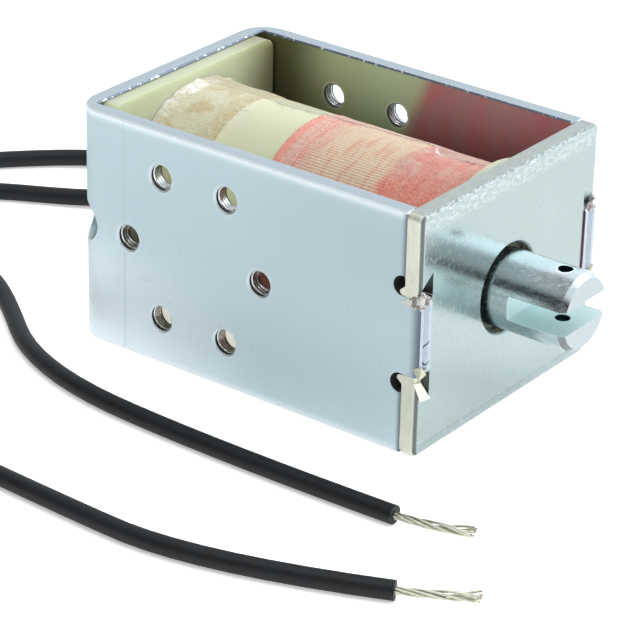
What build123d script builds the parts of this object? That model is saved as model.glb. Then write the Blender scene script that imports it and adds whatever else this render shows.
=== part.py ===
"""Open-frame pull solenoid: a bent steel channel closed by a staked front plate, a wound
bobbin round a brass guide tube, a riveted pole piece, and a clevis plunger that slides.

Millimetres. +X runs along the plunger, out of the frame, and +Z is up. The origin is under the
middle of the solenoid, with the plunger seated, on the plane that the frame's edges stand on.
"""
from build123d import *
from math import cos, pi, radians, sin, tan
import os

# Frame
frame_length = 68.0  # outer face of the rear wall to the front plate's face
frame_width = 47.5
frame_height = 40.0
wall = 2.8
plate_thickness = 2.8
bend_outside_radius = 5.2  # pressing thins the strip where it turns
bend_inside_radius = 0.3
edge_break = 0.25  # bevel on the strip's edges and on the plate's hole
plate_roll = 0.8  # soft edge that blanking leaves round the plate's face
plate_corner = 1.2

# Front joint
tab_height = 12.9
tab_proud = 0.3  # how far the staked tab stands out of the plate
tab_corner = 1.1
tab_clearance = 0.05  # above and below the tab
tab_gap = 0.2  # on the tab's inner side
relief_radius = 1.6
relief_setback = 0.5  # relief hole's centre, behind the plate's inner face

# Chisel marks that lock the joint: a groove down each tab's end, a slant in each notch corner
groove_length = 10.6
groove_width = 1.4
groove_depth = 0.6
slant_width = 3.2  # in from the plate's side
slant_rise_outer = 1.4  # on the plate's face, away from the tab, at the plate's side
slant_depth_outer = 0.9
slant_rise_upper = 3.7  # the same at the slant's inner end, above the tab
slant_rise_lower = 4.9  # and below it
slant_depth_inner = 2.6
swage_depth = 0.9  # plate's corners beside each tab, driven back into the relief holes
swage_rise = 1.5
swage_width = 2.6
swage_inset = 0.15  # away from the tab

# Lead windows, punched through both bends
window_radius = 3.5

# Tapped holes in each side wall: four at the corners of a rectangle, two on its middle line
tap_radius = 2.08
tap_countersink = 0.3
tap_rear_column = 18.1  # from the rear face to the rectangle's rear pair
tap_spacing = 13.0  # between the rectangle's two columns
tap_row_spacing = 24.4
pair_spacing = 26.4

# Plunger
plunger_diameter = 12.7
plunger_reach = 14.0  # how far its end stands out of the frame when seated
nose_chamfer_length = 0.9
nose_chamfer_radial = 0.7
slot_width = 3.97
slot_depth = 10.0
pin_hole_radius = 1.19
pin_hole_inset = 3.9  # from the plunger's end
stroke = 25.0
bearing_length = 16.0  # of the plunger, still in the frame at the end of its stroke

# Conical seat between plunger and pole piece
cone_half_angle = 30.0
plunger_tip_radius = 1.6
seat_bottom_radius = 1.3
pole_lip = 0.6  # flat ring round the mouth of the seat
seat_gap = 0.3  # along the axis, with the plunger seated

# Guide tube, bobbin and coil, from the plunger outwards
sliding_clearance = 0.08
tube_wall = 0.5
tube_setback = 2.4  # tube's front end, behind the plate's face
plate_hole_radius = 7.4
bobbin_clearance = 0.07
core_wall = 1.2
rear_flange_thickness = 2.7
flange_side_gap = 0.35  # rear flange, to the side wall
flange_top_gap = 0.4  # below the frame's edge
flange_corner = 2.2
front_flange_thickness = 1.7
front_flange_gap = 1.45  # from the round front flange to the side wall
lead_slot_depth = 3.3
lead_slot_height = 7.4
coil_side_gap = 3.75  # from the winding to the side wall; the leads lie in it
wrap_clearance = 0.05

# Bands round the winding, from the rear flange forwards
rear_tape_length = 12.5
band_length = 11.8
rear_tape_thickness = 0.6
band_thickness = 0.35
front_tape_thickness = 0.5

# Pole piece
spigot_radius = 4.0
spigot_clearance = 0.02
spigot_countersink = 0.8

# Leads and the sleeves over their joints with the winding
lead_diameter = 3.0
lead_pitch = 3.3  # one above the other, where they lie beside the coil
lead_wall_gap = 0.12  # to the side wall, beside the coil
lead_inside = 9.6  # of each lead, in front of the rear wall
sleeve_radius = 1.45
sleeve_length = 9.0
corner_share = 0.45  # of a run, taken up by the bend at each of its ends
strand_radius = 0.2
strand_count = 6  # round the middle one
strand_ring = 0.55
strand_length = 12.0
strand_splay = 4.0  # degrees that the outer strands open

pick_margin = 0.01  # how near an edge lies to the place that it is picked by

# Places that follow from the sizes
rear_face = -(frame_length + plunger_reach) / 2
front_face = rear_face + frame_length
nose_end = front_face + plunger_reach
rear_inner = rear_face + wall
plate_inner = front_face - plate_thickness
side_outer = frame_width / 2
side_inner = side_outer - wall
axis_height = frame_height / 2
flange_width = 2 * (side_inner - flange_side_gap)
flange_height = frame_height - 2 * flange_top_gap
winding_radius = side_inner - coil_side_gap
plunger_radius = plunger_diameter / 2
tube_inner = plunger_radius + sliding_clearance
tube_outer = tube_inner + tube_wall
bobbin_bore = tube_outer + bobbin_clearance
core_radius = bobbin_bore + core_wall
front_flange_radius = side_inner - front_flange_gap
coil_rear = rear_inner + rear_flange_thickness
coil_front = plate_inner - front_flange_thickness
cone_slope = tan(radians(cone_half_angle))
axis_plane = Plane(origin=(0, 0, axis_height), x_dir=(0, 1, 0), z_dir=(1, 0, 0))


def pick_rims(piece, radius, distance):
    """Circular edges of one radius whose centres are at no distance from a place."""
    return [
        rim
        for rim in piece.edges().filter_by(GeomType.CIRCLE)
        if abs(rim.radius - radius) < pick_margin and abs(distance(rim.center())) < pick_margin
    ]


# The channel: one strip of steel bent twice into a U, with a tab at each front end
tap_rear_x = rear_face + tap_rear_column
tap_column_x = [tap_rear_x, tap_rear_x + tap_spacing]
tap_mid_x = tap_rear_x + tap_spacing / 2
tap_row_z = [axis_height - tap_row_spacing / 2, axis_height + tap_row_spacing / 2]
tap_places = [(x, z) for x in tap_column_x for z in tap_row_z]
tap_places += [(tap_mid_x + turn * pair_spacing / 2, axis_height) for turn in (-1, 1)]
window_start = wall + window_radius  # of each lead window's cut, in from both outer faces

with BuildPart() as frame_channel:
    with BuildSketch(Plane.XY):
        with Locations(((rear_face + plate_inner) / 2, 0)):
            Rectangle(plate_inner - rear_face, frame_width)
        with Locations((rear_inner + frame_length / 2, 0)):
            Rectangle(frame_length, 2 * side_inner, mode=Mode.SUBTRACT)
    extrude(amount=frame_height)
    for bend_x, radius in ((rear_face, bend_outside_radius), (rear_inner, bend_inside_radius)):
        uprights = frame_channel.edges().filter_by(Axis.Z)
        bends = uprights.filter_by_position(Axis.X, bend_x - pick_margin, bend_x + pick_margin)
        fillet(bends, radius)
    faces_by_height = frame_channel.faces().sort_by(Axis.Z)
    chamfer(faces_by_height[0].edges() + faces_by_height[-1].edges(), edge_break)
    for side in (-1, 1):
        with BuildSketch(Plane.XZ.offset(-side * side_outer)):
            with Locations(((plate_inner + front_face + tab_proud) / 2, axis_height)):
                Rectangle(plate_thickness + tab_proud, tab_height)
        extrude(amount=side * wall)
    tab_tips = frame_channel.edges().filter_by(Axis.Y).filter_by_position(
        Axis.X, front_face, front_face + 2 * tab_proud
    )
    fillet(tab_tips, tab_corner)
    for side in (-1, 1):
        groove_plane = Plane(
            origin=(front_face + tab_proud, side * (side_outer - wall / 2), axis_height)
        )
        with BuildSketch(groove_plane):
            Polygon((0, groove_width / 2), (-groove_depth, 0), (0, -groove_width / 2), align=None)
        extrude(amount=groove_length / 2, both=True, mode=Mode.SUBTRACT)
    relief_z = tab_height / 2 + relief_radius
    with BuildSketch(Plane.XZ):
        for turn in (-1, 1):
            with Locations((plate_inner - relief_setback, axis_height + turn * relief_z)):
                Circle(relief_radius)
    extrude(amount=side_outer, both=True, mode=Mode.SUBTRACT)
    with BuildSketch(Plane.XZ):
        with Locations(*tap_places):
            Circle(tap_radius)
    extrude(amount=side_outer, both=True, mode=Mode.SUBTRACT)
    with BuildSketch(Plane.YZ.offset(rear_face)):
        with Locations((0, axis_height)):
            Circle(spigot_radius)
    extrude(amount=wall, mode=Mode.SUBTRACT)
    for side in (-1, 1):
        window_plane = Plane(
            origin=(rear_face + window_start, side * (side_outer - window_start), axis_height),
            z_dir=(-1, side, 0),
        )
        with BuildSketch(window_plane):
            Circle(window_radius)
        extrude(amount=2 * window_start, mode=Mode.SUBTRACT)
    tap_rims = pick_rims(frame_channel, tap_radius, lambda centre: abs(centre.Y) - side_outer)
    chamfer(tap_rims, tap_countersink)
    spigot_rims = pick_rims(frame_channel, spigot_radius, lambda centre: centre.X - rear_face)
    chamfer(spigot_rims, spigot_countersink)
frame_channel.part.label = "frame_channel"

# The front plate: a blanked plate with a notch in each side for the channel's tab
with BuildPart() as front_plate:
    with BuildSketch(Plane.YZ.offset(plate_inner)):
        with Locations((0, axis_height)):
            Rectangle(frame_width, frame_height)
            Circle(plate_hole_radius, mode=Mode.SUBTRACT)
    extrude(amount=plate_thickness)
    fillet(front_plate.edges().filter_by(Axis.X), plate_corner)
    fillet(front_plate.faces().sort_by(Axis.X)[-1].outer_wire().edges(), plate_roll)
    hole_rims = pick_rims(front_plate, plate_hole_radius, lambda centre: centre.X - front_face)
    chamfer(hole_rims, edge_break)
    with BuildSketch(Plane.YZ.offset(plate_inner)):
        for side in (-1, 1):
            with Locations((side * (side_outer - (wall + tab_gap) / 2), axis_height)):
                Rectangle(wall + tab_gap, tab_height + 2 * tab_clearance)
    extrude(amount=plate_thickness, mode=Mode.SUBTRACT)
    for side in (-1, 1):
        for turn, slant_rise_inner in ((-1, slant_rise_lower), (1, slant_rise_upper)):
            for across, rise, depth in (
                (side_outer, slant_rise_outer, slant_depth_outer),
                (side_outer - slant_width, slant_rise_inner, slant_depth_inner),
            ):
                with BuildSketch(Plane.XZ.offset(-side * across)):
                    Polygon(
                        (front_face, axis_height + turn * (tab_height / 2 + rise)),
                        (front_face - depth, axis_height + turn * tab_height / 2),
                        (front_face, axis_height + turn * tab_height / 2),
                        align=None,
                    )
            loft(ruled=True, mode=Mode.SUBTRACT)
    swage_foot = tab_height / 2 + swage_inset
    swage_outline = [
        (0, swage_foot),
        (0, swage_foot + swage_rise),
        (-swage_depth, swage_foot + swage_rise / 2),
        (-swage_depth, swage_foot + swage_rise / 5),
        (-swage_depth / 2, swage_foot),
    ]
    for side in (-1, 1):
        with BuildSketch(Plane.XZ.offset(-side * side_outer)):
            for turn in (-1, 1):
                Polygon(
                    *[(plate_inner + back, axis_height + turn * up) for back, up in swage_outline],
                    align=None,
                )
        extrude(amount=side * swage_width)
front_plate.part.label = "front_plate"

# The pole piece: the fixed half of the core, riveted through the rear wall, with a conical seat
tip_face = front_face - stroke - bearing_length
seat_apex = tip_face - plunger_tip_radius / cone_slope - seat_gap
seat_mouth_radius = plunger_radius - pole_lip
seat_mouth = seat_apex + seat_mouth_radius / cone_slope
seat_bottom = seat_apex + seat_bottom_radius / cone_slope
spigot_solid_radius = spigot_radius - spigot_clearance

with BuildPart() as pole_piece:
    with BuildSketch(Plane.XY.offset(axis_height)):
        with BuildLine():
            Polyline(
                (rear_face, 0),
                (rear_face, spigot_solid_radius + spigot_countersink),
                (rear_face + spigot_countersink, spigot_solid_radius),
                (rear_inner, spigot_solid_radius),
                (rear_inner, plunger_radius),
                (seat_mouth, plunger_radius),
                (seat_mouth, seat_mouth_radius),
                (seat_bottom, seat_bottom_radius),
                (seat_bottom, 0),
                close=True,
            )
        make_face()
    revolve(axis=Axis((0, 0, axis_height), (1, 0, 0)))
pole_piece.part.label = "pole_piece"

# The plunger: a turned rod with a conical inner end, and a clevis sawn and drilled in its nose
cone_base = tip_face + (plunger_radius - plunger_tip_radius) / cone_slope
slot_root = nose_end - slot_depth

with BuildPart() as plunger:
    with BuildSketch(Plane.XY.offset(axis_height)):
        with BuildLine():
            Polyline(
                (tip_face, 0),
                (tip_face, plunger_tip_radius),
                (cone_base, plunger_radius),
                (nose_end - nose_chamfer_length, plunger_radius),
                (nose_end, plunger_radius - nose_chamfer_radial),
                (nose_end, 0),
                close=True,
            )
        make_face()
    revolve(axis=Axis((0, 0, axis_height), (1, 0, 0)))
    with BuildSketch(Plane.XZ):
        with Locations(((slot_root + nose_end + slot_width) / 2, axis_height)):
            Rectangle(slot_depth + slot_width, slot_width)
    extrude(amount=plunger_diameter, both=True, mode=Mode.SUBTRACT)
    with BuildSketch(Plane.XY.offset(axis_height)):
        with Locations((nose_end - pin_hole_inset, 0)):
            Circle(pin_hole_radius)
    extrude(amount=plunger_diameter, both=True, mode=Mode.SUBTRACT)
plunger.part.label = "plunger"

# The brass tube that the plunger slides in, pressed over the pole piece at its rear end
tube_front = front_face - tube_setback
with BuildPart() as guide_tube:
    with BuildSketch(axis_plane.offset(rear_inner)):
        Circle(tube_outer)
        Circle(tube_inner, mode=Mode.SUBTRACT)
    extrude(amount=tube_front - rear_inner)
guide_tube.part.label = "guide_tube"

# The moulded bobbin: a tube with a square flange at the rear, slotted at the sides for the leads,
# and a round one in front
with BuildPart() as bobbin:
    with BuildSketch(axis_plane.offset(rear_inner)):
        RectangleRounded(flange_width, flange_height, flange_corner)
        for side in (-1, 1):
            with Locations((side * (flange_width - lead_slot_depth) / 2, 0)):
                Rectangle(lead_slot_depth, lead_slot_height, mode=Mode.SUBTRACT)
    extrude(amount=rear_flange_thickness)
    with BuildSketch(axis_plane.offset(coil_front)):
        Circle(front_flange_radius)
    extrude(amount=front_flange_thickness)
    with BuildSketch(axis_plane.offset(rear_inner)):
        Circle(core_radius)
    extrude(amount=plate_inner - rear_inner)
    with BuildSketch(axis_plane.offset(rear_inner)):
        Circle(bobbin_bore)
    extrude(amount=plate_inner - rear_inner, mode=Mode.SUBTRACT)
bobbin.part.label = "bobbin"

# The winding and what is wrapped round it: each is a sleeve between two radii
band_start = coil_rear + rear_tape_length
weave_start = band_start + band_length
wrap_inner = winding_radius + wrap_clearance


def make_sleeve(label, start, end, inner, outer):
    """Write one round sleeve about the solenoid's axis."""
    with BuildPart() as sleeve:
        with BuildSketch(axis_plane.offset(start)):
            Circle(outer)
            Circle(inner, mode=Mode.SUBTRACT)
        extrude(amount=end - start)
    sleeve.part.label = label
    return sleeve.part


coil_winding = make_sleeve(
    "coil_winding", coil_rear, coil_front, core_radius + wrap_clearance, winding_radius
)
coil_tape_rear = make_sleeve(
    "coil_tape_rear", coil_rear, band_start, wrap_inner, wrap_inner + rear_tape_thickness
)
insulation_band = make_sleeve(
    "insulation_band", band_start, weave_start, wrap_inner, wrap_inner + band_thickness
)
coil_tape_front = make_sleeve(
    "coil_tape_front", weave_start, coil_front, wrap_inner, wrap_inner + front_tape_thickness
)

# The sleeves over the two joints between the winding's wire and the leads
lead_start = rear_inner + lead_inside
lead_offset = side_inner - lead_wall_gap - lead_diameter / 2
with BuildPart() as splice_sleeves:
    with BuildSketch(Plane.YZ.offset(lead_start)):
        for turn in (-1, 1):
            with Locations((lead_offset, axis_height + turn * lead_pitch / 2)):
                Circle(sleeve_radius)
    extrude(amount=sleeve_length)
splice_sleeves.part.label = "splice_sleeves"

# The leads' routes: beside the coil, through the far lead window, down, and along the surface
lead_on_floor = lead_diameter / 2
upper_lead_height = axis_height + lead_pitch / 2
lower_lead_height = axis_height - lead_pitch / 2
window_entry = rear_inner + 2.6
outer_route = [
    (lead_start, lead_offset, upper_lead_height),
    (window_entry, lead_offset, upper_lead_height),
    (rear_face - 1.8, side_outer - 0.55, 21.4),
    (-50.6, 26.8, 18.0),
    (-59.0, 29.8, 12.0),
    (-67.6, 31.6, 5.6),
    (-76.2, 31.6, 2.0),
    (-87.2, 27.0, lead_on_floor),
    (-105.5, 6.6, lead_on_floor),
    (-109.8, -16.1, lead_on_floor),
    (-94.8, -39.4, lead_on_floor),
    (-55.0, -62.0, lead_on_floor),
    (-7.7, -71.4, lead_on_floor),
    (22.7, -72.0, lead_on_floor),
    (48.6, -58.3, lead_on_floor),
]
inner_route = [
    (lead_start, lead_offset, lower_lead_height),
    (window_entry, lead_offset, lower_lead_height),
    (rear_face - 1.8, side_outer - 0.65, 18.0),
    (-50.8, 25.2, 13.8),
    (-58.8, 23.6, 7.4),
    (-65.6, 18.8, 2.6),
    (-70.9, 15.2, lead_on_floor),
    (-92.6, 3.9, lead_on_floor),
    (-98.6, -10.2, lead_on_floor),
    (-89.0, -21.8, lead_on_floor),
    (-68.2, -19.1, lead_on_floor),
    (-59.5, -21.8, lead_on_floor),
    (-34.5, -38.9, lead_on_floor),
    (3.5, -44.7, lead_on_floor),
    (36.2, -41.4, lead_on_floor),
]


def corner_radii(points):
    """Radius of the arc at each corner: as large as its two runs allow."""
    radii = []
    for before, corner, after in zip(points, points[1:], points[2:]):
        run_in = Vector(corner) - Vector(before)
        run_out = Vector(after) - Vector(corner)
        half_turn = radians(run_in.get_angle(run_out)) / 2
        radii.append(corner_share * min(run_in.length, run_out.length) / tan(half_turn))
    return radii


def make_lead(label, points):
    """A round lead along straight runs joined by tangent arcs."""
    radii = corner_radii(points)
    with BuildPart() as lead:
        with BuildLine():
            route = FilletPolyline(*points, radius=radii)
        with BuildSketch(Plane(origin=route @ 0, z_dir=route % 0)):
            Circle(lead_diameter / 2)
        sweep(path=route)
    lead.part.label = label
    section = pi * lead_diameter**2 / 4
    print(label, "length", round(route.length, 1), "tightest radius", round(min(radii), 1))
    print("  radii", [round(radius, 1) for radius in radii])
    print("  volume", round(lead.part.volume, 1), "section x length",
          round(section * route.length, 1))
    return lead.part


lead_outer = make_lead("lead_outer", outer_route)
lead_inner = make_lead("lead_inner", inner_route)


def make_strands(label, points):
    """Bare strands out of a lead's end: one in the middle and a ring that opens a little."""
    end = Vector(points[-1])
    forward = (end - Vector(points[-2])).normalized()
    across = forward.cross(Vector(0, 0, 1)).normalized()
    up = across.cross(forward)
    splay = sin(radians(strand_splay))
    with BuildPart() as strands:
        with BuildSketch(Plane(origin=end, z_dir=forward)):
            Circle(strand_radius)
        extrude(amount=strand_length)
        for number in range(strand_count):
            turn = 2 * pi * number / strand_count
            outward = across * cos(turn) + up * sin(turn)
            lean = across * cos(turn) + up * max(sin(turn), 0)
            root = end + outward * strand_ring
            with BuildSketch(Plane(origin=root, z_dir=forward + lean * splay)):
                Circle(strand_radius)
            extrude(amount=strand_length)
    strands.part.label = label
    return strands.part


lead_outer_strands = make_strands("lead_outer_strands", outer_route)
lead_inner_strands = make_strands("lead_inner_strands", inner_route)

os.makedirs("parts", exist_ok=True)
export_step(frame_channel.part, "parts/frame_channel.step")
export_step(front_plate.part, "parts/front_plate.step")
export_step(pole_piece.part, "parts/pole_piece.step")
export_step(plunger.part, "parts/plunger.step")
export_step(guide_tube.part, "parts/guide_tube.step")
export_step(bobbin.part, "parts/bobbin.step")
export_step(splice_sleeves.part, "parts/splice_sleeves.step")
for piece in (
    coil_winding,
    coil_tape_rear,
    insulation_band,
    coil_tape_front,
    lead_outer,
    lead_inner,
    lead_outer_strands,
    lead_inner_strands,
):
    export_step(piece, f"parts/{piece.label}.step")
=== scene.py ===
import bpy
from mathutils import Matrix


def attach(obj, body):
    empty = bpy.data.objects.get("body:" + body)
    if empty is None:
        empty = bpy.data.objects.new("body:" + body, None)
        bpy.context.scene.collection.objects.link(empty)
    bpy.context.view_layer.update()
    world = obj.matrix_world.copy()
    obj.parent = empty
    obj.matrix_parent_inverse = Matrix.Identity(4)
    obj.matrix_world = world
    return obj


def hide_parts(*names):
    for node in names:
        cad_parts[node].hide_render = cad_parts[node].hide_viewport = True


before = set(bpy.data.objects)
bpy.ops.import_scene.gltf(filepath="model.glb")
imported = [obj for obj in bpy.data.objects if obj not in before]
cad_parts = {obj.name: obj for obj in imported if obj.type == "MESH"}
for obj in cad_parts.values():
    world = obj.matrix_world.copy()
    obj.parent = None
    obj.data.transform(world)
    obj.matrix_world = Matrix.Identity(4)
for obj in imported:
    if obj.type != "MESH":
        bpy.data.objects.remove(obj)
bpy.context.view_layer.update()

# %% [markdown]
# # A pull solenoid, dressed for its portrait
#
# The solenoid is a bright zinc-plated steel frame round a coil that is wrapped in cloth tape. A
# slotted plunger slides in the coil, and two black leads run out of the frame's far rear corner.
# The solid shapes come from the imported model. This file adds what a solid model leaves out: the
# threads in the tapped holes, the weave, the lap and the loose fibres of the tape, the twisted
# strands, the soft curves of the leads, the struck metal at the front joint, and a finish for
# every surface. It works in millimetres and turns them into Blender's metres at the last step.

# %% Common values
from functools import reduce
from math import cos, pi, radians, sin, tau
from random import Random

import bmesh
import bpy
from mathutils import Matrix, Vector, noise

mm = 0.001
axis_height = 20.0  # of the plunger's axis; the places below are in millimetres too
print("nodes:", sorted(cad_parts))

# %% [markdown]
# ## The camera
#
# A long lens from the front right, a little above the frame, as for a catalogue picture: from far
# away the frame's sides stay nearly parallel. A camera can be aimed with angles or with a Track To
# constraint. Here its place and three turns were worked out from the frame's own corners and
# holes, so the view is written as one matrix, whose columns are the camera's right, its up and
# its backwards.

# %% Put a new object in the scene
def stand(name, data):
    """Puts a new object in the scene, at the origin."""
    thing = bpy.data.objects.new(name, data)
    bpy.context.scene.collection.objects.link(thing)
    return thing


# %% Place the camera
eye = Vector((254.747, -354.08, 221.581)) * mm
yaw, pitch, roll = radians(36.685), radians(26.338), radians(1.385)
toward = Vector((-sin(yaw) * cos(pitch), cos(yaw) * cos(pitch), -sin(pitch)))
unrolled = Vector((cos(yaw), sin(yaw), 0))
lifted = unrolled.cross(toward)
right = cos(roll) * unrolled + sin(roll) * lifted
up = -sin(roll) * unrolled + cos(roll) * lifted

lens = bpy.data.cameras.new("portrait_lens")
lens.lens, lens.sensor_width, lens.clip_start, lens.clip_end = 170.1, 36, 0.01, 20
camera = stand("portrait_camera", lens)
camera.matrix_world = Matrix((
    (right.x, up.x, -toward.x, eye.x),
    (right.y, up.y, -toward.y, eye.y),
    (right.z, up.z, -toward.z, eye.z),
    (0, 0, 0, 1),
))
bpy.context.scene.camera = camera
print("camera at", [round(v, 3) for v in eye], "lens", lens.lens, "mm")

# %% [markdown]
# ## Node trees as arithmetic
#
# A material or a geometry tree is a small calculation. Written node by node it is long and hard to
# read, so two small classes carry it: a Graph makes a node from its type, its settings and its
# inputs, and a Wire stands for what comes out of one, so that sums on wires add Math nodes. Two
# shapes of mask come up all the time, so they have methods: ramp, a step with a soft edge, and
# near, a soft band about one value.

# %% A wire that does arithmetic
class Wire:
    """What one node hands to the next. Arithmetic on it adds Math nodes."""

    def __init__(self, graph, socket):
        self.graph, self.socket = graph, socket

    def math(self, operation, *others):
        return self.graph.math(operation, self, *others)

    def __add__(self, other):
        return self.math("ADD", other)

    def __sub__(self, other):
        return self.math("SUBTRACT", other)

    def __mul__(self, other):
        return self.math("MULTIPLY", other)

    def __truediv__(self, other):
        return self.math("DIVIDE", other)

    def __pow__(self, other):
        return self.math("POWER", other)

    def __rsub__(self, other):
        return self.graph.math("SUBTRACT", other, self)

    def __abs__(self):
        return self.math("ABSOLUTE")

    def either(self, other):
        return self.math("MAXIMUM", other)

    def least(self, other):
        return self.math("MINIMUM", other)

    __radd__, __rmul__ = __add__, __mul__

    def ramp(self, low, high):
        """0 below low, 1 above high, and smooth between."""
        return self.graph.add(
            "ShaderNodeMapRange",
            {"interpolation_type": "SMOOTHSTEP"},
            {"Value": self, "From Min": low, "From Max": high},
        )

    def near(self, middle, inner_reflection_and_shade, outside):
        """1 within inside of middle, 0 farther from it than outside."""
        return 1 - abs(self - middle).ramp(inner_reflection_and_shade, outside)


print("wires ready")

# %% A graph that makes nodes
class Graph:
    """One node tree, filled from code."""

    def __init__(self, tree):
        self.tree = tree

    def add(self, kind, settings=(), inputs=(), output=0):
        node = self.tree.nodes.new(kind)
        for name, value in dict(settings).items():
            setattr(node, name, value)
        for name, value in dict(inputs).items():
            if isinstance(value, Wire):
                self.tree.links.new(value.socket, node.inputs[name])
            else:
                node.inputs[name].default_value = value
        return Wire(self, node.outputs[output])

    def math(self, operation, *values):
        return self.add("ShaderNodeMath", {"operation": operation}, dict(enumerate(values)))

    def vector(self, x, y, z):
        return self.add("ShaderNodeCombineXYZ", (), {0: x, 1: y, 2: z})

    def part(self, vector, axis):
        """One coordinate of a vector."""
        return self.add("ShaderNodeSeparateXYZ", (), {0: vector}, output=axis)


print("graphs ready")

# %% [markdown]
# ## Finishes
#
# Every finish is the Principled shader with its fixed numbers set on its own sockets, and only its
# colour, roughness, metal and bump worked out over the surface. The patterns are measured in
# millimetres on the piece itself, so that a grain of 0.3 means 0.3 mm on the part, and a mark can
# be put at a place by its coordinates. A mask that knows which way the surface faces tells a
# sheared edge from a rolled face. A worn surface is laid on in coats, as paint is: each coat is a
# mask and the tint that shows through it.

# %% A finish that is built up in steps
class Finish(Graph):
    """A material in the making: a Principled shader and what is linked to it."""

    def __init__(self, name, **fixed):
        self.material = bpy.data.materials.new(name)
        self.material.use_nodes = True
        super().__init__(self.material.node_tree)
        self.shader = self.tree.nodes["Principled BSDF"]
        for socket, value in fixed.items():
            self.shader.inputs[socket.replace("_", " ")].default_value = value
        self.place = self.add(
            "ShaderNodeVectorMath",
            {"operation": "SCALE"},
            {0: self.add("ShaderNodeTexCoord", output="Object"), "Scale": 1 / mm},
        )

    def along(self, axis):
        """One coordinate, in millimetres."""
        return self.part(self.place, axis)

    def facing(self, axis):
        """How squarely the surface faces along one axis, from -1 to 1."""
        return self.part(self.add("ShaderNodeTexCoord", output="Normal"), axis)

    def from_line(self, x, z, other="Z"):
        """Distance from a line that runs across the solenoid, or down it, through one place."""
        flat = self.vector(self.along("X"), 0.0, self.along(other))
        return self.add(
            "ShaderNodeVectorMath", {"operation": "DISTANCE"}, {0: flat, 1: (x, 0, z)},
            output="Value",
        )

    def round_axis(self, radius):
        """Coordinates that follow the coil: along the axis, round it, and out from it."""
        y, z = self.along("Y"), self.along("Z") - axis_height
        round_it = y.math("ARCTAN2", z) * radius
        return self.vector(self.along("X"), round_it, (y * y + z * z) ** 0.5)

    def noise(self, grain, detail=2.0, stretch=(1, 1, 1), at=None, shift=0.0, rough=0.5):
        """Cloudy noise from 0 to 1, whose lumps are about one grain across."""
        spread = self.add(
            "ShaderNodeVectorMath",
            {"operation": "MULTIPLY_ADD"},
            {0: at or self.place, 1: tuple(1 / (grain * s) for s in stretch), 2: (shift,) * 3},
        )
        return self.add(
            "ShaderNodeTexNoise",
            (),
            {"Vector": spread, "Scale": 1.0, "Detail": detail, "Roughness": rough},
        )

    def mix(self, share, one, other):
        """One colour where share is 0, the other where it is 1."""
        return self.add(
            "ShaderNodeMix",
            {"data_type": "RGBA", "clamp_factor": True},
            {0: share, 6: self.solid(one), 7: self.solid(other)},
            output=2,
        )

    def coat(self, colour, *coats):
        """Lays tints over a colour one after another, each where its mask is 1."""
        for mask, tint in coats:
            colour = self.mix(mask, colour, tint)
        return colour

    @staticmethod
    def solid(colour):
        return colour if isinstance(colour, Wire) else (*colour, 1.0)

    def surface(self, colour=None, roughness=None, bump=None, depth=0.05, metal=None):
        """Links what varies; a bump's full height is depth millimetres."""
        for socket, wire in (("Base Color", colour), ("Roughness", roughness), ("Metallic", metal)):
            if wire is not None:
                self.tree.links.new(wire.socket, self.shader.inputs[socket])
        if bump is not None:
            normal = self.add(
                "ShaderNodeBump", (), {"Height": bump, "Distance": depth * mm, "Strength": 1.0}
            )
            self.tree.links.new(normal.socket, self.shader.inputs["Normal"])
        return self.material


print("finishes ready")

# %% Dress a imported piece
def dress(node, material):
    """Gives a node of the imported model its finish."""
    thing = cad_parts[node]
    thing.data.materials.clear()
    thing.data.materials.append(material)
    print("dressed", node, "in", material.name)


print(len(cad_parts), "packed pieces to dress or to replace")

# %% [markdown]
# ## The leads
#
# Each lead is 3 mm of stranded wire in a limp black jacket. It lies beside the coil, leaves through
# the window in the far rear bend, drops to the table, and comes round to the front. It could be
# swept along straight runs and arcs, as a bent pipe is, but a curve that is pulled along by its
# control points bends as a real lead does. So the routes are the control points of a NURBS curve.

# %% Route the leads
lead_radius, lead_pitch = 1.5, 3.3  # the pitch is between the two leads, one above the other
upper, lower = axis_height + lead_pitch / 2, axis_height - lead_pitch / 2
flat = lead_radius  # height of a middle line that lies on the table
outer_route = [
    (-28.6, 19.33, upper), (-35.6, 19.33, upper), (-42.8, 23.2, 21.4), (-50.6, 26.8, 18.0),
    (-59.0, 29.8, 12.0), (-67.6, 31.6, 5.6), (-76.2, 31.6, 2.0), (-87.2, 27.0, flat),
    (-105.5, 6.6, flat), (-109.8, -16.1, flat), (-94.8, -39.4, flat), (-55.8, -67.0, flat),
    (-7.7, -69.7, flat), (22.2, -70.3, flat), (48.6, -58.3, flat),
]
inner_route = [
    (-28.6, 19.33, lower), (-35.6, 19.33, lower), (-42.8, 23.1, 18.0), (-50.8, 25.2, 13.8),
    (-58.8, 23.6, 7.4), (-65.6, 18.8, 2.6), (-70.9, 15.2, flat), (-92.6, 3.9, flat),
    (-98.6, -10.2, flat), (-89.0, -21.8, flat), (-68.1, -18.3, flat), (-58.5, -22.0, flat),
    (-35.2, -40.5, flat), (3.6, -42.9, flat), (36.2, -41.4, flat),
]


def lay_lead(name, route):
    """A round lead whose middle line is pulled along by its route."""
    curve = bpy.data.curves.new(name, "CURVE")
    curve.dimensions, curve.resolution_u = "3D", 8
    curve.bevel_depth, curve.bevel_resolution, curve.use_fill_caps = lead_radius * mm, 7, True
    line = curve.splines.new("NURBS")
    line.points.add(len(route) - 1)
    for point, place in zip(line.points, route):
        point.co = (*(Vector(place) * mm), 1)
    line.order_u, line.use_endpoint_u = 3, True
    return stand(name, curve)


outer_lead = lay_lead("outer_lead_jacket", outer_route)
inner_lead = lay_lead("inner_lead_jacket", inner_route)
print("routed two leads with", len(outer_route), "and", len(inner_route), "control points")

# %% [markdown]
# The jacket is matt black, a little lighter where it has been handled. It isn't quite smooth: the
# strands under it and the way it was drawn leave a faint long ripple and a very fine grain.

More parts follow.
